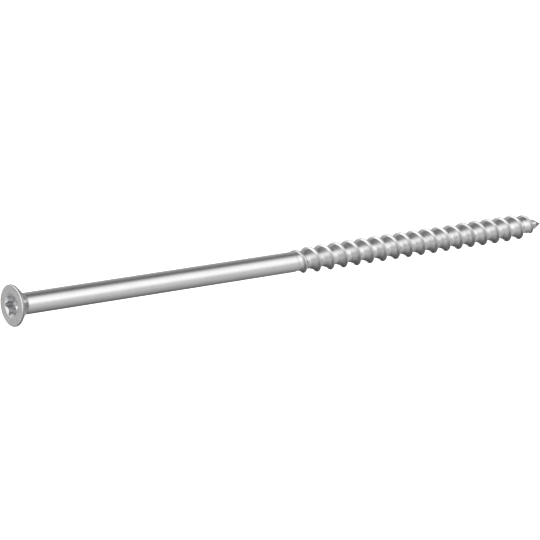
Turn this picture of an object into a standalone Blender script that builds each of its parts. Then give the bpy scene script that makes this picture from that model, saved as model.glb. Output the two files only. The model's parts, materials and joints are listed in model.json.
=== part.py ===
"""Aerated concrete screw, 8 x 200 mm, with a countersunk head and a six-lobed drive recess.

It is one piece of steel. The head is cold-headed on the wire, the recess is punched into it, and the coarse
right-hand thread and the point are rolled, so it is modelled as one closed solid.

The screw is drawn along +X, with the face of its head at 0. A station is a distance from that face along the
axis. An angle is taken around the axis, by the right-hand rule, from straight down. At the end the screw is
laid down as it comes to rest, on the rim of its head and on its thread, with its tip towards +X.
"""
import math

import bpy
import bmesh
from mathutils import Euler, Vector

# Overall length, from the face of the head to the tip
SCREW_LENGTH = 0.200

# Countersunk head
HEAD_DIAMETER = 0.0119
RIM_HEIGHT = 0.00065
RIM_ROUNDING_ACROSS = 0.0007
RIM_ROUNDING_ALONG = 0.0003
COUNTERSINK_ANGLE = math.radians(90)
UNDERHEAD_FILLET = 0.0012

# Six-lobed drive recess, and the flat cone of its entry
LOBES = 6
RECESS_ACROSS_LOBES = 0.00675
RECESS_ACROSS_HOLLOWS = 0.00485
LOBE_ROUNDING = 0.00055
RECESS_WALL_DEPTH = 0.0027
RECESS_FLOOR_DEPTH = 0.0034
RECESS_FLOOR_DIAMETER = 0.0028
RECESS_TURN = math.radians(24)
ENTRY_DIAMETER = 0.0070
ENTRY_ANGLE = math.radians(140)

# Plain shank, and the neck where it narrows to the core of the thread
SHANK_DIAMETER = 0.0062
NECK_LENGTH = 0.0022

# Rolled thread: on the head's side a long ramp leads up to a narrow crest
THREAD_LENGTH = 0.10544
THREAD_DIAMETER = 0.0081
CORE_DIAMETER = 0.00546
THREAD_PITCH = 0.00517
RAMP_WIDTH = 0.00215
RAMP_SHARE = 0.55
HEAD_FLANK_WIDTH = 0.00042
CREST_WIDTH = 0.0003
TIP_FLANK_WIDTH = 0.00095
CREST_LEAD = 0.0024
NECK_LEAD = 0.0039
CREST_RISE = 0.0110
CREST_RUN_OUT = 0.0050

# Point
POINT_LENGTH = 0.0115
POINT_FULLNESS = 1.3
CONE_LENGTH = 0.0030
CONE_DIAMETER = 0.0030

# Fineness of the curved surfaces
THREAD_SIDES = 32
HEAD_SIDES = 2 * THREAD_SIDES
RAMP_STEPS = 2
ARC_STEPS = 4
SHARP_EDGE = math.radians(35)

# Satin zinc coating
ZINC_COLOUR = (0.56, 0.57, 0.58, 1.0)
ZINC_ROUGHNESS = 0.34

HEAD_RADIUS = HEAD_DIAMETER / 2
SHANK_RADIUS = SHANK_DIAMETER / 2
THREAD_RADIUS = THREAD_DIAMETER / 2
CORE_RADIUS = CORE_DIAMETER / 2
CONE_RADIUS = CONE_DIAMETER / 2
THREAD_START = SCREW_LENGTH - THREAD_LENGTH


def place(station, radius, angle):
    """The point at a station, a distance from the axis and an angle from straight down."""
    return Vector((station, radius * math.sin(angle), -radius * math.cos(angle)))


def side_angle(index, sides):
    """The angle of a corner of a many-sided ring that stands on one of its flats."""
    return (index + 0.5) * math.tau / sides


def add_ring(bm, station, radius, sides):
    return [bm.verts.new(place(station, radius, side_angle(i, sides))) for i in range(sides)]


def join_rings(bm, ring, next_ring):
    for i in range(len(ring)):
        bm.faces.new((ring[i - 1], ring[i], next_ring[i], next_ring[i - 1]))


def join_to_coarse_ring(bm, fine, coarse):
    """Join a ring to one of half as many sides, whose corners lie over every second flat of the first."""
    count = len(fine)
    for i, corner in enumerate(coarse):
        next_corner = coarse[(i + 1) % len(coarse)]
        before, after, beyond = fine[2 * i], fine[2 * i + 1], fine[(2 * i + 2) % count]
        bm.faces.new((before, after, corner))
        bm.faces.new((after, beyond, next_corner, corner))


def join_columns(bm, column, next_column):
    """Join two columns of points. Where a column has shrunk to one point, the faces are triangles."""
    for k in range(len(column) - 1):
        corners = (column[k], next_column[k], next_column[k + 1], column[k + 1])
        distinct = list(dict.fromkeys(corners))
        if len(distinct) > 2:
            bm.faces.new(distinct)


def head_outline():
    """Stations and radii of the turned head, from the edge of its flat face to the start of the shank."""
    outline = []
    for i in range(ARC_STEPS + 1):
        swing = math.pi / 2 * i / ARC_STEPS
        station = RIM_ROUNDING_ALONG * (1 - math.cos(swing))
        outline.append((station, HEAD_RADIUS - RIM_ROUNDING_ACROSS * (1 - math.sin(swing))))
    slope = COUNTERSINK_ANGLE / 2
    outline.append((RIM_HEIGHT, HEAD_RADIUS))
    corner_station = RIM_HEIGHT + (HEAD_RADIUS - SHANK_RADIUS) / math.tan(slope)
    fillet_end = corner_station + UNDERHEAD_FILLET * math.tan(slope / 2)
    for i in range(ARC_STEPS + 1):
        swing = slope * (1 - i / ARC_STEPS)
        station = fillet_end - UNDERHEAD_FILLET * math.sin(swing)
        outline.append((station, SHANK_RADIUS + UNDERHEAD_FILLET * (1 - math.cos(swing))))
    return outline


def eased(share):
    """From 0 to 1, starting at full slope and levelling out."""
    share = min(max(share, 0.0), 1.0)
    return 1 - (1 - share) ** 2


def body_radius(station):
    """The round body without its thread: shank, neck, core and point."""
    from_tip = SCREW_LENGTH - station
    if from_tip < CONE_LENGTH:
        return CONE_RADIUS * from_tip / CONE_LENGTH
    if from_tip < POINT_LENGTH:
        share = (POINT_LENGTH - from_tip) / (POINT_LENGTH - CONE_LENGTH)
        return CORE_RADIUS - (CORE_RADIUS - CONE_RADIUS) * share ** POINT_FULLNESS
    share = min(max((station - THREAD_START - NECK_LEAD) / NECK_LENGTH, 0.0), 1.0)
    return SHANK_RADIUS - (SHANK_RADIUS - CORE_RADIUS) * share ** 2 * (3 - 2 * share)


def core_radius(station):
    """The core of the thread, which goes on at its own size inside the neck and the shank."""
    return min(body_radius(station), CORE_RADIUS)


def ridge_height(station):
    """How far the crest stands above the core: it rises out of the shank and runs out on the point."""
    rise = eased((station - THREAD_START - CREST_LEAD) / CREST_RISE)
    height = SHANK_RADIUS + (THREAD_RADIUS - SHANK_RADIUS) * rise - CORE_RADIUS
    return height * eased((SCREW_LENGTH - CONE_LENGTH - station) / CREST_RUN_OUT)


def ridge_share(offset):
    """How much of its height the ridge has, an offset along the axis from the foot of its ramp."""
    crest_start = RAMP_WIDTH + HEAD_FLANK_WIDTH
    crest_end = crest_start + CREST_WIDTH
    if offset < RAMP_WIDTH:
        return RAMP_SHARE * offset / RAMP_WIDTH
    if offset < crest_start:
        return RAMP_SHARE + (1 - RAMP_SHARE) * (offset - RAMP_WIDTH) / HEAD_FLANK_WIDTH
    if offset < crest_end:
        return 1.0
    if offset < crest_end + TIP_FLANK_WIDTH:
        return (crest_end + TIP_FLANK_WIDTH - offset) / TIP_FLANK_WIDTH
    return 0.0


def surface_radius(station, angle):
    """The radius of the threaded length. The ridge advances by one pitch in each turn."""
    advance = THREAD_PITCH * (angle - side_angle(0, THREAD_SIDES)) / math.tau
    share = ridge_share((station - THREAD_START - advance) % THREAD_PITCH)
    return max(body_radius(station), core_radius(station) + ridge_height(station) * share)


def ridge_offsets():
    """Where the lines of the mesh run along the ridge, from its foot to the next turn's foot."""
    ramp = [RAMP_WIDTH * i / RAMP_STEPS for i in range(RAMP_STEPS + 1)]
    crest_start = RAMP_WIDTH + HEAD_FLANK_WIDTH
    crest_end = crest_start + CREST_WIDTH
    return ramp + [crest_start, crest_end, crest_end + TIP_FLANK_WIDTH, THREAD_PITCH]


def add_threaded_length(bm):
    """Mesh the thread in lines that follow the helix. Gives back the plain rings at its two ends."""
    offsets = ridge_offsets()
    advance = THREAD_PITCH / THREAD_SIDES
    ridge_room = SCREW_LENGTH - CONE_LENGTH - THREAD_START - THREAD_PITCH
    steps = int(ridge_room / advance)
    end_station = THREAD_START + steps * advance + THREAD_PITCH

    def add_point(step, station):
        angle = side_angle(step, THREAD_SIDES)
        return bm.verts.new(place(station, surface_radius(station, angle), angle))

    def foot_station(step):
        return THREAD_START + step * advance

    feet = [add_point(step, foot_station(step)) for step in range(steps + THREAD_SIDES + 1)]
    columns = []
    for step in range(steps + 1):
        middle = [add_point(step, foot_station(step) + offset) for offset in offsets[1:-1]]
        columns.append([feet[step]] + middle + [feet[step + THREAD_SIDES]])

    run_in = [[feet[0]] * len(offsets)]
    run_out = []
    for i in range(1, THREAD_SIDES):
        share = i / THREAD_SIDES
        lower = [add_point(i, THREAD_START + offset * share) for offset in offsets[:-1]]
        run_in.append(lower + [feet[i]])
        step = steps + i
        squeeze = 1 - share
        upper = [add_point(step, end_station - (THREAD_PITCH - offset) * squeeze) for offset in offsets[1:]]
        run_out.append([feet[step]] + upper)
    run_out.append([feet[-1]] * len(offsets))

    all_columns = run_in + columns + run_out
    for column, next_column in zip(all_columns, all_columns[1:]):
        join_columns(bm, column, next_column)
    first_ring = [column[0] for column in run_in]
    last_ring = [column[-1] for column in [columns[-1]] + run_out[:-1]]
    return first_ring, last_ring


def build_screw_mesh():
    """Head, shank, thread and point as one closed surface."""
    bm = bmesh.new()
    outline = head_outline()
    ring = add_ring(bm, *outline[0], HEAD_SIDES)
    bm.faces.new(ring)
    for station, radius in outline[1:]:
        next_ring = add_ring(bm, station, radius, HEAD_SIDES)
        join_rings(bm, ring, next_ring)
        ring = next_ring
    shank_station = outline[-1][0] + UNDERHEAD_FILLET
    shank_ring = add_ring(bm, shank_station, SHANK_RADIUS, THREAD_SIDES)
    join_to_coarse_ring(bm, ring, shank_ring)
    first_ring, last_ring = add_threaded_length(bm)
    join_rings(bm, shank_ring, first_ring)
    tip = bm.verts.new(place(SCREW_LENGTH, 0.0, 0.0))
    for i in range(len(last_ring)):
        bm.faces.new((last_ring[i - 1], last_ring[i], tip))
    bmesh.ops.recalc_face_normals(bm, faces=bm.faces)
    mesh = bpy.data.meshes.new("screw")
    bm.to_mesh(mesh)
    bm.free()
    return mesh


def recess_outline():
    """Radius and angle of the points around the recess: round lobes, joined by hollow arcs that touch them."""
    half_step = math.pi / LOBES
    lobe_centre = RECESS_ACROSS_LOBES / 2 - LOBE_ROUNDING
    hollow = RECESS_ACROSS_HOLLOWS / 2
    reach = lobe_centre * math.cos(half_step)
    hollow_rounding = (LOBE_ROUNDING ** 2 - lobe_centre ** 2 - hollow ** 2 + 2 * hollow * reach) / (
        2 * (hollow - reach - LOBE_ROUNDING))
    hollow_centre = hollow + hollow_rounding
    across = hollow_centre * math.sin(half_step)
    along = hollow_centre * math.cos(half_step) - lobe_centre
    touch = math.atan2(across, along)
    hollow_swing = touch - half_step
    outline = []
    for lobe in range(LOBES):
        middle = RECESS_TURN + 2 * half_step * lobe
        for i in range(ARC_STEPS + 1):
            swing = touch * (2 * i / ARC_STEPS - 1)
            x = lobe_centre + LOBE_ROUNDING * math.cos(swing)
            y = LOBE_ROUNDING * math.sin(swing)
            outline.append((math.hypot(x, y), middle + math.atan2(y, x)))
        for i in range(1, ARC_STEPS):
            swing = hollow_swing * (2 * i / ARC_STEPS - 1)
            x = hollow_centre - hollow_rounding * math.cos(swing)
            y = hollow_rounding * math.sin(swing)
            outline.append((math.hypot(x, y), middle + half_step + math.atan2(y, x)))
    return outline


def build_lobe_cutter():
    """The shape that the punch leaves: straight lobed walls, then a taper down to a small flat floor."""
    bm = bmesh.new()
    outline = recess_outline()
    rings = []
    for station in (-RECESS_WALL_DEPTH, RECESS_WALL_DEPTH):
        rings.append([bm.verts.new(place(station, radius, angle)) for radius, angle in outline])
    floor_radius = RECESS_FLOOR_DIAMETER / 2
    rings.append([bm.verts.new(place(RECESS_FLOOR_DEPTH, floor_radius, angle)) for _, angle in outline])
    bm.faces.new(rings[0])
    for ring, next_ring in zip(rings, rings[1:]):
        join_rings(bm, ring, next_ring)
    bm.faces.new(rings[-1])
    bmesh.ops.recalc_face_normals(bm, faces=bm.faces)
    mesh = bpy.data.meshes.new("lobe_cutter")
    bm.to_mesh(mesh)
    bm.free()
    return mesh


def build_entry_cutter():
    """The flat cone that bevels the ribs between the lobes and guides the bit in."""
    bm = bmesh.new()
    cone_depth = ENTRY_DIAMETER / 2 / math.tan(ENTRY_ANGLE / 2)
    ring = add_ring(bm, -cone_depth, ENTRY_DIAMETER, HEAD_SIDES)
    bm.faces.new(ring)
    bottom = bm.verts.new(place(cone_depth, 0.0, 0.0))
    for i in range(HEAD_SIDES):
        bm.faces.new((ring[i - 1], ring[i], bottom))
    bmesh.ops.recalc_face_normals(bm, faces=bm.faces)
    mesh = bpy.data.meshes.new("entry_cutter")
    bm.to_mesh(mesh)
    bm.free()
    return mesh


def zinc_coating():
    """Satin silver-grey zinc on steel."""
    material = bpy.data.materials.new("zinc_coating")
    material.use_nodes = True
    shader = material.node_tree.nodes["Principled BSDF"]
    shader.inputs["Base Color"].default_value = ZINC_COLOUR
    shader.inputs["Metallic"].default_value = 1.0
    shader.inputs["Roughness"].default_value = ZINC_ROUGHNESS
    return material


def add_object(name, mesh):
    thing = bpy.data.objects.new(name, mesh)
    bpy.context.scene.collection.objects.link(thing)
    return thing


def cut_out(thing, name, cutter):
    """Cut one solid out of another. The cutter moves with it and is never shown."""
    cutter.parent = thing
    cutter.hide_render = True
    cutter.display_type = 'WIRE'
    cut = thing.modifiers.new(name, 'BOOLEAN')
    cut.operation = 'DIFFERENCE'
    cut.solver = 'EXACT'
    cut.object = cutter


def lay_down(screw):
    """Lay the screw on the ground: it tips about the rim of its head until its thread touches."""
    points = [vertex.co for vertex in screw.data.vertices]
    rim = min(points, key=lambda point: (round(point.z, 7), -point.x))
    slopes = [(point.z - rim.z) / (point.x - rim.x) for point in points if point.x > rim.x]
    screw.rotation_euler = Euler((0.0, math.atan(min(slopes)), 0.0))
    turn = screw.rotation_euler.to_matrix()
    laid = [turn @ point for point in points]
    middle = (min(point.x for point in laid) + max(point.x for point in laid)) / 2
    screw.location = (-middle, 0.0, -min(point.z for point in laid))


for old_object in list(bpy.data.objects):
    bpy.data.objects.remove(old_object)

screw = add_object("screw", build_screw_mesh())
screw.data.materials.append(zinc_coating())
screw.data.shade_smooth()
screw.data.set_sharp_from_angle(angle=SHARP_EDGE)

cut_out(screw, "drive_recess", add_object("lobe_cutter", build_lobe_cutter()))
cut_out(screw, "recess_entry", add_object("entry_cutter", build_entry_cutter()))

lay_down(screw)
bpy.context.view_layer.update()
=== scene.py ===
import json
import math

import bpy
import bmesh
from mathutils import Matrix, Vector


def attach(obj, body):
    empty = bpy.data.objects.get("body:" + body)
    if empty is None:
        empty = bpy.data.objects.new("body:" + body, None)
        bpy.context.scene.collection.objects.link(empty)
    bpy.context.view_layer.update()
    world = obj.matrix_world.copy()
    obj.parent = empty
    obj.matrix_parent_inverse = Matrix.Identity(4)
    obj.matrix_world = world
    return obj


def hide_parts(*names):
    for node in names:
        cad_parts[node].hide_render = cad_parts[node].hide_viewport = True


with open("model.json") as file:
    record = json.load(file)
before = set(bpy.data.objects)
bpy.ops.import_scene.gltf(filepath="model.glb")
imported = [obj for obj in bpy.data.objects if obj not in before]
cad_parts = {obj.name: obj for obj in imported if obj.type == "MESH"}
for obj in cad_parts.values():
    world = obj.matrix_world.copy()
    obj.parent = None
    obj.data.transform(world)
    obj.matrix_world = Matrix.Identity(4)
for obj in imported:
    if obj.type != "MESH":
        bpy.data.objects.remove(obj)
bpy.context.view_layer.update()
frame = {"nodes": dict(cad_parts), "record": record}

# Drive recess
# Six rounded lobes, punched cold into the end of the steel wire by a pin, with a taper down to a flat floor.
# The shoulder of the pin bevels the ribs between the lobes. A thin coat of zinc lies over the whole screw.
SIDES = 96
FIRST_SIDE_ANGLE = math.radians(7.5)
LOBES = 6
LOBE_REACH = 0.003375
HOLLOW_REACH = 0.002425
LOBE_ROUNDING = 0.00055
RECESS_TURN = math.radians(24)
RECESS_WALL_DEPTH = 0.0027
RECESS_FLOOR_DEPTH = 0.0034
RECESS_FLOOR_RADIUS = 0.0014
WALL_FOOT, WALL_MIDDLE = 1.0, 0.5
ENTRY_RADIUS = 0.0035
ENTRY_SLOPE = math.tan(math.radians(20))
ENTRY_STEPS = 4

# The screw is one mesh, and each face of it has the finish of the place where it lies.
FINISHES = (
    "zinc_in_recess",
    "zinc_on_face",
    "zinc_on_rim_painted_shade",
    "zinc_on_countersink_painted_shade",
    "zinc_on_shank",
    "zinc_on_thread",
    "zinc_on_point_painted_shade",
)
IN_RECESS, ON_FACE, ON_RIM, ON_COUNTERSINK, ON_SHANK, ON_THREAD, ON_POINT = range(len(FINISHES))

bm = bmesh.new()


def place(station, radius, angle):
    """The point at a distance along the axis, a distance from the axis and an angle from straight down."""
    return Vector((station, radius * math.sin(angle), -radius * math.cos(angle)))


def side_angle(index):
    return FIRST_SIDE_ANGLE + index * math.tau / SIDES


def join_rings(ring, next_ring, finish):
    for i in range(SIDES):
        face = bm.faces.new((ring[i - 1], ring[i], next_ring[i], next_ring[i - 1]))
        face.material_index = finish


def close_ring(ring, middle, finish):
    for i in range(SIDES):
        face = bm.faces.new((ring[i - 1], ring[i], middle))
        face.material_index = finish


def recess_outline():
    """Radius and angle of a point for each side: round lobes, joined by hollow arcs that touch them."""
    half_step = math.pi / LOBES
    lobe_centre = LOBE_REACH - LOBE_ROUNDING
    reach = lobe_centre * math.cos(half_step)
    # The hollow's rounding is the one with which its arc just touches the lobe's.
    hollow_rounding = (
        LOBE_ROUNDING ** 2 - lobe_centre ** 2 - HOLLOW_REACH ** 2 + 2 * HOLLOW_REACH * reach
    ) / (2 * (HOLLOW_REACH - reach - LOBE_ROUNDING))
    hollow_centre = HOLLOW_REACH + hollow_rounding
    # They touch on the line through both centres, at this angle to the lobe's middle.
    touch = math.atan2(hollow_centre * math.sin(half_step),
                       hollow_centre * math.cos(half_step) - lobe_centre)
    steps = SIDES // LOBES // 2
    outline = []
    for lobe in range(LOBES):
        middle = RECESS_TURN + 2 * half_step * lobe
        for i in range(steps):
            swing = touch * (2 * i / steps - 1)
            along = lobe_centre + LOBE_ROUNDING * math.cos(swing)
            across = LOBE_ROUNDING * math.sin(swing)
            outline.append((math.hypot(along, across), middle + math.atan2(across, along)))
        for i in range(steps):
            swing = (touch - half_step) * (2 * i / steps - 1)
            along = hollow_centre - hollow_rounding * math.cos(swing)
            across = hollow_rounding * math.sin(swing)
            outline.append((math.hypot(along, across), middle + half_step + math.atan2(across, along)))
    first = max(range(SIDES), key=lambda i: math.cos(outline[i][1] - side_angle(0)))
    return outline[first:] + outline[:first]


outline = recess_outline()
ring = [bm.verts.new(place(RECESS_FLOOR_DEPTH, RECESS_FLOOR_RADIUS, angle)) for _, angle in outline]
close_ring(ring, bm.verts.new(place(RECESS_FLOOR_DEPTH, 0.0, 0.0)), IN_RECESS)
for wall_share in (WALL_FOOT, WALL_MIDDLE):
    depth = RECESS_WALL_DEPTH * wall_share
    next_ring = [bm.verts.new(place(depth, radius, angle)) for radius, angle in outline]
    join_rings(ring, next_ring, IN_RECESS)
    ring = next_ring

# The bevelled entry leads from the lobed outline to the round edge of the face.
for step in range(ENTRY_STEPS + 1):
    share = step / ENTRY_STEPS
    next_ring = []
    for i, (radius, angle) in enumerate(outline):
        bevel_radius = radius + (ENTRY_RADIUS - radius) * share
        depth = (ENTRY_RADIUS - bevel_radius) * ENTRY_SLOPE
        turn = math.remainder(side_angle(i) - angle, math.tau) * share
        next_ring.append(bm.verts.new(place(depth, bevel_radius, angle + turn)))
    join_rings(ring, next_ring, IN_RECESS)
    ring = next_ring

# Head
# The end of the wire, cold-headed to a flat face with a softly rounded edge, a low rim and a 90 degree
# countersink. The face is left grainy by the die and by the zinc bath.
HEAD_RADIUS = 0.00595
RIM_HEIGHT = 0.00065
RIM_ROUNDING_ACROSS = 0.0004
RIM_ROUNDING_ALONG = 0.0002
RIM_STEPS = 8
RIM_BACK_ROUNDING = 0.0003
BACK_STEPS = 4
COUNTERSINK_SLOPE = math.radians(45)
UNDERHEAD_FILLET = 0.0012
FILLET_STEPS = 8
SHANK_RADIUS = 0.0031

# A ring this close inside each edge of the flat face keeps the smooth shading off the face.
HOLDING_STEP = 0.00005


def add_ring(station, radius):
    return [bm.verts.new(place(station, radius, side_angle(i))) for i in range(SIDES)]


head_rings = [(0.0, ENTRY_RADIUS + HOLDING_STEP), (0.0, HEAD_RADIUS - RIM_ROUNDING_ACROSS - HOLDING_STEP)]
for i in range(RIM_STEPS + 1):
    swing = math.pi / 2 * i / RIM_STEPS
    radius = HEAD_RADIUS - RIM_ROUNDING_ACROSS * (1 - math.sin(swing))
    head_rings.append((RIM_ROUNDING_ALONG * (1 - math.cos(swing)), radius))
for station, radius in head_rings:
    next_ring = add_ring(station, radius)
    join_rings(ring, next_ring, ON_FACE)
    ring = next_ring

edge_start = RIM_HEIGHT - RIM_BACK_ROUNDING * math.tan(COUNTERSINK_SLOPE / 2)
next_ring = add_ring(edge_start, HEAD_RADIUS)
join_rings(ring, next_ring, ON_RIM)
ring = next_ring

neck_rings = []
for i in range(1, BACK_STEPS + 1):
    swing = COUNTERSINK_SLOPE * i / BACK_STEPS
    radius = HEAD_RADIUS - RIM_BACK_ROUNDING * (1 - math.cos(swing))
    neck_rings.append((edge_start + RIM_BACK_ROUNDING * math.sin(swing), radius))
corner_station = RIM_HEIGHT + (HEAD_RADIUS - SHANK_RADIUS) / math.tan(COUNTERSINK_SLOPE)
fillet_end = corner_station + UNDERHEAD_FILLET * math.tan(COUNTERSINK_SLOPE / 2)
for i in range(FILLET_STEPS + 1):
    swing = COUNTERSINK_SLOPE * (1 - i / FILLET_STEPS)
    station = fillet_end - UNDERHEAD_FILLET * math.sin(swing)
    neck_rings.append((station, SHANK_RADIUS + UNDERHEAD_FILLET * (1 - math.cos(swing))))
for station, radius in neck_rings:
    next_ring = add_ring(station, radius)
    join_rings(ring, next_ring, ON_COUNTERSINK)
    ring = next_ring
shank_top = ring

# Shank, thread and point
# The shank is the plain drawn wire. The coarse right-hand thread is rolled into it between flat dies: on
# the head's side a long ramp leads up to a narrow crest, and the wire narrows to the thread's core. The
# ridge runs out on the narrowing point, which ends in a plain cone.
SCREW_LENGTH = 0.200
THREAD_START = 0.09456
NECK_START = 0.09849
NECK_LENGTH = 0.0022
CORE_RADIUS = 0.00273
THREAD_RADIUS = 0.00405
THREAD_PITCH = 0.00517
RAMP_WIDTH = 0.00215
RAMP_SHARE = 0.55
HEAD_FLANK_WIDTH = 0.00042
CREST_WIDTH = 0.0003
TIP_FLANK_WIDTH = 0.00095
CREST_START = 0.09699
CREST_RISE = 0.0110
CREST_RUN_OUT = 0.0050
CREST_FROM = RAMP_WIDTH + HEAD_FLANK_WIDTH
CREST_TO = CREST_FROM + CREST_WIDTH
TIP_FOOT = CREST_TO + TIP_FLANK_WIDTH
EDGE_SOFTENING = 0.00008
SOFTENING_STEPS = 3
LINES_AT_EDGE = (-1.0, -0.5, 0.0, 0.5, 1.0)
POINT_LENGTH = 0.0115
POINT_FULLNESS = 1.3
CONE_LENGTH = 0.0030
CONE_RADIUS = 0.0015
CONE_STEPS = 6

# Where the ridge stands less than this above the shank, the surface counts as plain shank.
LEAST_RISE = 0.00001


def eased(share):
    """From 0 to 1, starting at full slope and levelling out."""
    share = min(max(share, 0.0), 1.0)
    return 1 - (1 - share) ** 2


def body_radius(station):
    """The round body without its thread: shank, neck, core and point."""
    from_tip = SCREW_LENGTH - station
    if from_tip < CONE_LENGTH:
        return CONE_RADIUS * from_tip / CONE_LENGTH
    if from_tip < POINT_LENGTH:
        share = (POINT_LENGTH - from_tip) / (POINT_LENGTH - CONE_LENGTH)
        return CORE_RADIUS - (CORE_RADIUS - CONE_RADIUS) * share ** POINT_FULLNESS
    share = min(max((station - NECK_START) / NECK_LENGTH, 0.0), 1.0)
    return SHANK_RADIUS - (SHANK_RADIUS - CORE_RADIUS) * share ** 2 * (3 - 2 * share)


def ridge_height(station):
    """How far the crest stands above the core: it rises out of the shank and runs out on the point."""
    rise = eased((station - CREST_START) / CREST_RISE)
    height = SHANK_RADIUS + (THREAD_RADIUS - SHANK_RADIUS) * rise - CORE_RADIUS
    return height * eased((SCREW_LENGTH - CONE_LENGTH - station) / CREST_RUN_OUT)


def sharp_ridge_share(offset):
    """How much of its height the ridge has, an offset along the axis from the foot of its ramp."""
    offset %= THREAD_PITCH
    if offset < RAMP_WIDTH:
        return RAMP_SHARE * offset / RAMP_WIDTH
    if offset < CREST_FROM:
        return RAMP_SHARE + (1 - RAMP_SHARE) * (offset - RAMP_WIDTH) / HEAD_FLANK_WIDTH
    if offset < CREST_TO:
        return 1.0
    return max(TIP_FOOT - offset, 0.0) / TIP_FLANK_WIDTH


def ridge_share(offset):
    """The same with the ridge's edges rounded off, as rolling leaves them."""
    samples = range(-SOFTENING_STEPS, SOFTENING_STEPS + 1)
    shares = [sharp_ridge_share(offset + EDGE_SOFTENING * sample / SOFTENING_STEPS) for sample in samples]
    return sum(shares) / len(shares)


def surface_radius(station, offset):
    """The radius of the body or of the ridge, whichever stands out further."""
    core = min(body_radius(station), CORE_RADIUS)
    return max(body_radius(station), core + ridge_height(station) * ridge_share(offset))


def ridge_offsets():
    """Where the lines of the mesh run along the ridge: close at its edges, wider apart between them."""
    offsets = [0.0, THREAD_PITCH]
    for edge in (0.0, RAMP_WIDTH, CREST_FROM, CREST_TO, TIP_FOOT):
        for share in LINES_AT_EDGE:
            offsets.append((edge + share * EDGE_SOFTENING) % THREAD_PITCH)
    offsets += [RAMP_WIDTH / 3, RAMP_WIDTH * 2 / 3, (CREST_TO + TIP_FOOT) / 2, (TIP_FOOT + THREAD_PITCH) / 2]
    return sorted(set(offsets))


def on_plain_shank(vertex):
    radius = math.hypot(vertex.co.y, vertex.co.z)
    return vertex.co.x < NECK_START and radius < SHANK_RADIUS + LEAST_RISE


def join_columns(column, next_column):
    """Join two columns of points. Where a column has shrunk to one point, the faces are triangles."""
    for k in range(len(column) - 1):
        corners = (column[k], next_column[k], next_column[k + 1], column[k + 1])
        distinct = list(dict.fromkeys(corners))
        if len(distinct) > 2:
            plain = all(on_plain_shank(vertex) for vertex in distinct)
            face = bm.faces.new(distinct)
            face.material_index = ON_SHANK if plain else ON_THREAD


offsets = ridge_offsets()
advance = THREAD_PITCH / SIDES
ridge_steps = int((SCREW_LENGTH - CONE_LENGTH - THREAD_START - THREAD_PITCH) / advance)
thread_end = THREAD_START + ridge_steps * advance + THREAD_PITCH


def add_thread_point(step, station):
    """The point of the surface at a station, on the side that the ridge's foot reaches with this step."""
    offset = station - THREAD_START - step * advance
    return bm.verts.new(place(station, surface_radius(station, offset), side_angle(step)))


# The threaded stretch is a strip of columns one pitch long, wound round the axis, so that each column ends
# where the one a turn later begins. The strip's first and last turn are triangles, which leave a flat ring
# at the shank and one at the cone.
feet = [add_thread_point(step, THREAD_START + step * advance) for step in range(ridge_steps + SIDES + 1)]
columns = []
for step in range(ridge_steps + 1):
    middle = [add_thread_point(step, THREAD_START + step * advance + offset) for offset in offsets[1:-1]]
    columns.append([feet[step]] + middle + [feet[step + SIDES]])
run_in = [[feet[0]] * len(offsets)]
run_out = []
for i in range(1, SIDES):
    share = i / SIDES
    lower = [add_thread_point(i, THREAD_START + offset * share) for offset in offsets[:-1]]
    run_in.append(lower + [feet[i]])
    step = ridge_steps + i
    upper = []
    for offset in offsets[1:]:
        upper.append(add_thread_point(step, thread_end - (THREAD_PITCH - offset) * (1 - share)))
    run_out.append([feet[step]] + upper)
run_out.append([feet[-1]] * len(offsets))
all_columns = run_in + columns + run_out
for column, next_column in zip(all_columns, all_columns[1:]):
    join_columns(column, next_column)
join_rings(shank_top, [column[0] for column in run_in], ON_SHANK)

ring = [column[-1] for column in [columns[-1]] + run_out[:-1]]
for step in range(1, CONE_STEPS):
    station = thread_end + (SCREW_LENGTH - thread_end) * step / CONE_STEPS
    radius = body_radius(station)
    next_ring = [bm.verts.new(place(station, radius, side_angle(ridge_steps + i))) for i in range(SIDES)]
    join_rings(ring, next_ring, ON_POINT)
    ring = next_ring
close_ring(ring, bm.verts.new(place(SCREW_LENGTH, 0.0, 0.0)), ON_POINT)

bmesh.ops.recalc_face_normals(bm, faces=bm.faces)
screw_mesh = bpy.data.meshes.new("coated_screw")
bm.to_mesh(screw_mesh)
bm.free()

# Laying the screw down
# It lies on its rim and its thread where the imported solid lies, so its tilt comes from the frame: the face's
# mount gives the axis, and the tip of the solid gives the place.
SHARP_EDGE = math.radians(40)

face_mount = next(mount for mount in frame["record"]["mounts"] if mount["name"] == "head_face")
axis = -Vector(face_mount["axis"])
tip = max((vertex.co for vertex in frame["nodes"]["screw"].data.vertices), key=lambda point: point.x)
lie = Matrix.Rotation(math.atan2(-axis.z, axis.x), 4, 'Y')
lie.translation = tip - lie.to_3x3() @ Vector((SCREW_LENGTH, 0.0, 0.0))
screw_mesh.transform(lie)
screw_mesh.shade_smooth()
screw_mesh.set_sharp_from_angle(angle=SHARP_EDGE)
screw = bpy.data.objects.new("coated_screw", screw_mesh)
bpy.context.scene.collection.objects.link(screw)
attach(screw, "root")
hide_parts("screw")

# Zinc coating
# A thin bright zinc plating over steel, satin rather than mirror-like. It is one coat, and only what lies
# under it differs: the punched recess, the grainy face, the rough rim, the smoother countersink, the drawn
# wire, the rolled thread and the pinched point. The darker greys of the rim, the countersink and the point
# are painted shade.
MM = 0.001

# The real grains and lines are finer than a pixel of the render, so these are as coarse as they need to
# show. The streaks' length is measured along the axis, where it comes to a third of a turn.
GRAIN = 0.3 * MM
LINE_LENGTH = 1.5 * MM
STREAK_WIDTH = 0.45 * MM
STREAK_LENGTH = 1.7 * MM
GRAIN_DETAIL = 3.0

# Clouds are about six grains across, and shift the tone only.
CLOUD_SCALE = 0.17
CLOUD_DETAIL = 2.0

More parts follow.
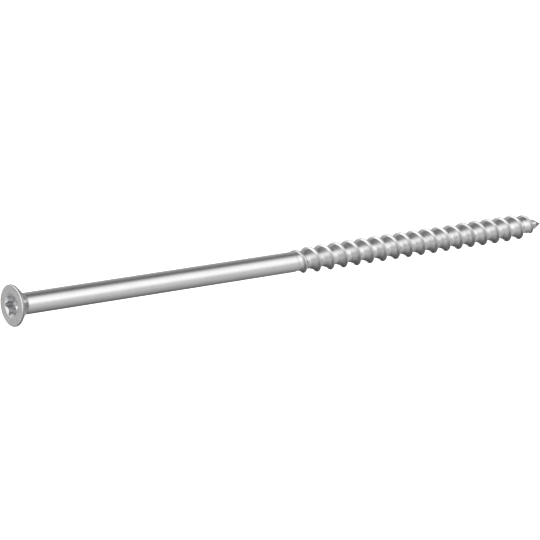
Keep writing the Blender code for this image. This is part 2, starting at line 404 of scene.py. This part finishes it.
# Most of the grains' noise lies between the first two values, and most of the sum of grains and clouds
# between the other two.
GRAINS_LOW, GRAINS_HIGH = 0.3, 0.7
SUM_LOW, SUM_HIGH = 0.7, 1.3

# A Mix node has its sockets once for each kind of value, so these are called by their numbers.
FIRST_COLOUR, SECOND_COLOUR, MIXED_COLOUR = 6, 7, 2


def linear(colour):
    """An sRGB hex colour as linear red, green, blue and alpha."""
    channels = [int(colour[i:i + 2], 16) / 255 for i in (1, 3, 5)]
    return [c / 12.92 if c <= 0.04045 else ((c + 0.055) / 1.055) ** 2.4 for c in channels] + [1.0]


def add_node(tree, kind, inputs, **settings):
    """Add a node with its settings, and set or link its inputs."""
    node = tree.nodes.new(kind)
    for name, value in settings.items():
        setattr(node, name, value)
    for name, value in inputs.items():
        if isinstance(value, bpy.types.NodeSocket):
            tree.links.new(value, node.inputs[name])
        else:
            node.inputs[name].default_value = value
    return node


def add_zinc(name, light, dark, roughness, roughness_swing, relief, lay_out_grains):
    """Satin zinc whose tone, gloss and relief vary from grain to grain."""
    material = bpy.data.materials.new(name)
    material.use_nodes = True
    tree = material.node_tree
    shader = tree.nodes["Principled BSDF"]
    shader.inputs["Metallic"].default_value = 1.0
    on_table = add_node(tree, "ShaderNodeTexCoord", {}).outputs["Object"]
    on_screw = add_node(tree, "ShaderNodeMapping", {
        "Vector": on_table, "Location": lie.translation, "Rotation": lie.to_euler(),
    }, vector_type='TEXTURE').outputs["Vector"]
    # The patterns are laid out in grains, so the noise has a scale of one.
    pattern_place = lay_out_grains(tree, on_screw)
    grains = add_node(tree, "ShaderNodeTexNoise", {
        "Vector": pattern_place, "Scale": 1.0, "Detail": GRAIN_DETAIL,
    }).outputs[0]
    clouds = add_node(tree, "ShaderNodeTexNoise", {
        "Vector": pattern_place, "Scale": CLOUD_SCALE, "Detail": CLOUD_DETAIL,
    }).outputs[0]
    both = add_node(tree, "ShaderNodeMath", {0: grains, 1: clouds}, operation='ADD').outputs[0]
    share = add_node(tree, "ShaderNodeMapRange", {
        "Value": both, "From Min": SUM_LOW, "From Max": SUM_HIGH,
    }).outputs[0]
    tone = add_node(tree, "ShaderNodeMix", {
        "Factor": share, FIRST_COLOUR: linear(dark), SECOND_COLOUR: linear(light),
    }, data_type='RGBA').outputs[MIXED_COLOUR]
    gloss = add_node(tree, "ShaderNodeMapRange", {
        "Value": grains, "From Min": GRAINS_LOW, "From Max": GRAINS_HIGH,
        "To Min": roughness - roughness_swing, "To Max": roughness + roughness_swing,
    }).outputs[0]
    bump = add_node(tree, "ShaderNodeBump", {
        "Height": grains, "Strength": 1.0, "Distance": relief,
    }).outputs[0]
    tree.links.new(tone, shader.inputs["Base Color"])
    tree.links.new(gloss, shader.inputs["Roughness"])
    tree.links.new(bump, shader.inputs["Normal"])
    screw_mesh.materials.append(material)


def speckle(tree, on_screw):
    """Round grains."""
    return add_node(tree, "ShaderNodeVectorMath", {
        0: on_screw, "Scale": 1 / GRAIN,
    }, operation='SCALE').outputs["Vector"]


def lines_along(tree, on_screw):
    """Grains drawn out along the screw."""
    return add_node(tree, "ShaderNodeVectorMath", {
        0: on_screw, 1: (1 / LINE_LENGTH, 1 / GRAIN, 1 / GRAIN),
    }, operation='MULTIPLY').outputs["Vector"]


def lines_along_ridge(tree, on_screw):
    """Grains drawn out along the turns of the ridge, each over a third of a turn."""
    split = add_node(tree, "ShaderNodeSeparateXYZ", {0: on_screw}).outputs
    upwards = add_node(tree, "ShaderNodeMath", {0: split["Z"], 1: -1.0}, operation='MULTIPLY').outputs[0]
    angle = add_node(tree, "ShaderNodeMath", {0: split["Y"], 1: upwards}, operation='ARCTAN2').outputs[0]
    advance_angle = add_node(tree, "ShaderNodeMath", {
        0: split["X"], 1: math.tau / THREAD_PITCH,
    }, operation='MULTIPLY').outputs[0]
    across = add_node(tree, "ShaderNodeMath", {0: advance_angle, 1: angle}, operation='SUBTRACT').outputs[0]
    sine = add_node(tree, "ShaderNodeMath", {0: across}, operation='SINE').outputs[0]
    cosine = add_node(tree, "ShaderNodeMath", {0: across}, operation='COSINE').outputs[0]
    round_pitch = add_node(tree, "ShaderNodeCombineXYZ", {
        "X": split["X"], "Y": sine, "Z": cosine,
    }).outputs[0]
    cells = THREAD_PITCH / math.tau / STREAK_WIDTH
    return add_node(tree, "ShaderNodeVectorMath", {
        0: round_pitch, 1: (1 / STREAK_LENGTH, cells, cells),
    }, operation='MULTIPLY').outputs["Vector"]


# The recess has a faintly cool cast from the zinc bath, which stands longer in it.
add_zinc(FINISHES[IN_RECESS], light="#E5E5E6", dark="#DADADC",
         roughness=0.33, roughness_swing=0.05, relief=0.001 * MM, lay_out_grains=speckle)
# The face is dull and finely speckled.
add_zinc(FINISHES[ON_FACE], light="#EDEDEC", dark="#D3D3D2",
         roughness=0.24, roughness_swing=0.06, relief=0.003 * MM, lay_out_grains=speckle)
# The rim is rough, where the metal was squeezed into the parting of the dies; its darker grey is painted
# shade, which dims the rim's reflection.
add_zinc(FINISHES[ON_RIM], light="#A8A8A8", dark="#949494",
         roughness=0.48, roughness_swing=0.06, relief=0.002 * MM, lay_out_grains=speckle)
# The countersink and its fillet are smoother than the face; their darker grey is painted shade under the
# head.
add_zinc(FINISHES[ON_COUNTERSINK], light="#CACACA", dark="#B4B4B4",
         roughness=0.20, roughness_swing=0.05, relief=0.002 * MM, lay_out_grains=speckle)
# The shank is smooth, with faint lines along it from the drawing die.
add_zinc(FINISHES[ON_SHANK], light="#DFDFDF", dark="#D5D5D5",
         roughness=0.18, roughness_swing=0.04, relief=0.004 * MM, lay_out_grains=lines_along)
# The thread is streaked along its turns, where the rolling dies rubbed over it.
add_zinc(FINISHES[ON_THREAD], light="#E6E6E6", dark="#C8C8C9",
         roughness=0.16, roughness_swing=0.05, relief=0.045 * MM, lay_out_grains=lines_along_ridge)
# The cone at the tip is duller, where the wire was pinched off, and its darker grey is painted shade.
add_zinc(FINISHES[ON_POINT], light="#A6A6A6", dark="#929292",
         roughness=0.34, roughness_swing=0.06, relief=0.002 * MM, lay_out_grains=speckle)

# Table
# A lit sheet of white opal glass, as for product photographs: it has no shadow on it, and the metal doesn't
# mirror it.
TABLE_SIZE = 6.0
TABLE_GAP = 0.00004
TABLE_GLOW = 1.0
TABLE_ROUGHNESS = 0.9

half = TABLE_SIZE / 2
corners = [(-half, -half, 0), (half, -half, 0), (half, half, 0), (-half, half, 0)]
table_mesh = bpy.data.meshes.new("opal_table")
table_mesh.from_pydata(corners, [], [(0, 1, 2, 3)])
table = bpy.data.objects.new("opal_table", table_mesh)
table.location.z = -TABLE_GAP
table.visible_glossy = False
bpy.context.scene.collection.objects.link(table)
opal = bpy.data.materials.new("lit_opal_glass")
opal.use_nodes = True
opal_shader = opal.node_tree.nodes["Principled BSDF"]
opal_shader.inputs["Base Color"].default_value = linear("#EDEDED")
opal_shader.inputs["Roughness"].default_value = TABLE_ROUGHNESS
opal_shader.inputs["Emission Color"].default_value = linear("#FFFFFF")
opal_shader.inputs["Emission Strength"].default_value = TABLE_GLOW
table_mesh.materials.append(opal)

# Studio light
# A white room that darkens upwards and downwards, with soft oval panels of light round the screw, and black
# flags, which take light away. The camera sees a plain white backdrop instead.
ROOM_BELOW, ROOM_ROUND, ROOM_ABOVE = 0.09, 0.50, 0.165
BACKDROP = 1.0

# The heights between which the room fades, where -1 is straight down and 1 is straight up.
FLOOR_FADE = (-0.95, -0.294)
CEILING_FADE = (0.402, 0.917)

# Each row has an azimuth from +X towards +Y, an elevation, a half width and a half height, all in degrees,
# and a strength.
PANELS = (
    (-57.4, 31.0, 33.7, 31.0, 0.75),
    (170.8, 31.3, 36.0, 46.8, 0.94),
    (-11.0, 17.0, 11.0, 9.0, 1.10),
    (-46.6, -31.8, 37.9, 59.3, 0.30),
    (130.0, 50.0, 35.4, 24.5, 0.28),
    (-118.3, 35.1, 22.8, 35.8, 0.25),
)
FLAGS = (
    (-21.4, -1.1, 26.8, 28.6, -0.32),
    (68.0, -43.0, 24.0, 14.0, -0.17),
    (0.0, -78.0, 18.0, 18.0, -0.08),
    (36.0, -2.0, 14.0, 14.0, -0.15),
)

# A panel fades out from half to one and a half times its half width and half height.
PANEL_FADE = (0.5, 1.5)

# The sockets of a Mix node for plain numbers.
FIRST_NUMBER, SECOND_NUMBER, MIXED_NUMBER = 2, 3, 0

studio = bpy.data.worlds.new("studio")
bpy.context.scene.world = studio
studio.use_nodes = True
sky = studio.node_tree
direction = add_node(sky, "ShaderNodeTexCoord", {}).outputs["Generated"]


def panel_light(azimuth, elevation, half_width, half_height, strength):
    """An oval patch of light with a soft edge, seen in one direction of the room."""
    azimuth = math.radians(azimuth)
    elevation = math.radians(elevation)
    middle = Vector((
        math.cos(elevation) * math.cos(azimuth),
        math.cos(elevation) * math.sin(azimuth),
        math.sin(elevation),
    ))
    right = Vector((-math.sin(azimuth), math.cos(azimuth), 0.0))
    above = middle.cross(right)
    across = add_node(sky, "ShaderNodeVectorMath", {
        0: direction, 1: right / math.sin(math.radians(half_width)),
    }, operation='DOT_PRODUCT').outputs["Value"]
    upwards = add_node(sky, "ShaderNodeVectorMath", {
        0: direction, 1: above / math.sin(math.radians(half_height)),
    }, operation='DOT_PRODUCT').outputs["Value"]
    on_panel = add_node(sky, "ShaderNodeCombineXYZ", {"X": across, "Y": upwards}).outputs[0]
    from_middle = add_node(sky, "ShaderNodeVectorMath", {0: on_panel}, operation='LENGTH').outputs["Value"]
    facing = add_node(sky, "ShaderNodeVectorMath", {
        0: direction, 1: middle,
    }, operation='DOT_PRODUCT').outputs["Value"]
    before = add_node(sky, "ShaderNodeMath", {0: facing, 1: 0.0}, operation='GREATER_THAN').outputs[0]
    level = add_node(sky, "ShaderNodeMapRange", {
        "Value": from_middle, "From Min": PANEL_FADE[0], "From Max": PANEL_FADE[1],
        "To Min": strength, "To Max": 0.0,
    }, interpolation_type='SMOOTHSTEP').outputs[0]
    return add_node(sky, "ShaderNodeMath", {0: level, 1: before}, operation='MULTIPLY').outputs[0]


height = add_node(sky, "ShaderNodeSeparateXYZ", {0: direction}).outputs["Z"]
lower_room = add_node(sky, "ShaderNodeMapRange", {
    "Value": height, "From Min": FLOOR_FADE[0], "From Max": FLOOR_FADE[1],
    "To Min": ROOM_BELOW, "To Max": ROOM_ROUND,
}, interpolation_type='SMOOTHSTEP').outputs[0]
ceiling = add_node(sky, "ShaderNodeMapRange", {
    "Value": height, "From Min": CEILING_FADE[0], "From Max": CEILING_FADE[1],
    "To Min": 0.0, "To Max": ROOM_ABOVE - ROOM_ROUND,
}, interpolation_type='SMOOTHSTEP').outputs[0]
light = add_node(sky, "ShaderNodeMath", {0: lower_room, 1: ceiling}, operation='ADD').outputs[0]
for panel in PANELS + FLAGS:
    light = add_node(sky, "ShaderNodeMath", {0: light, 1: panel_light(*panel)}, operation='ADD').outputs[0]
seen = add_node(sky, "ShaderNodeLightPath", {}).outputs["Is Camera Ray"]
strength = add_node(sky, "ShaderNodeMix", {
    "Factor": seen, FIRST_NUMBER: light, SECOND_NUMBER: BACKDROP,
}, data_type='FLOAT').outputs[MIXED_NUMBER]
background = sky.nodes["Background"]
background.inputs["Color"].default_value = linear("#FFFFFF")
sky.links.new(strength, background.inputs["Strength"])
bpy.context.scene.view_settings.view_transform = 'Standard'

# Camera
# It stands to the side of the screw, nearer to its head and a little above it, and looks at it obliquely, so
# that the recess shows. Its long lens keeps the perspective weak.
CAMERA_PLACE = (-0.4566, -0.5833, 0.1706)
CAMERA_ROTATION = (math.radians(90 - 12.804), 0.0, math.radians(-37.445))
SENSOR_WIDTH = 36.0
FOCAL_LENGTH = 168.80
NEAREST_SEEN = 0.01

camera_data = bpy.data.cameras.new("camera")
camera_data.sensor_width = SENSOR_WIDTH
camera_data.lens = FOCAL_LENGTH
camera_data.clip_start = NEAREST_SEEN
camera = bpy.data.objects.new("camera", camera_data)
camera.location = CAMERA_PLACE
camera.rotation_euler = CAMERA_ROTATION
bpy.context.scene.collection.objects.link(camera)
bpy.context.scene.camera = camera
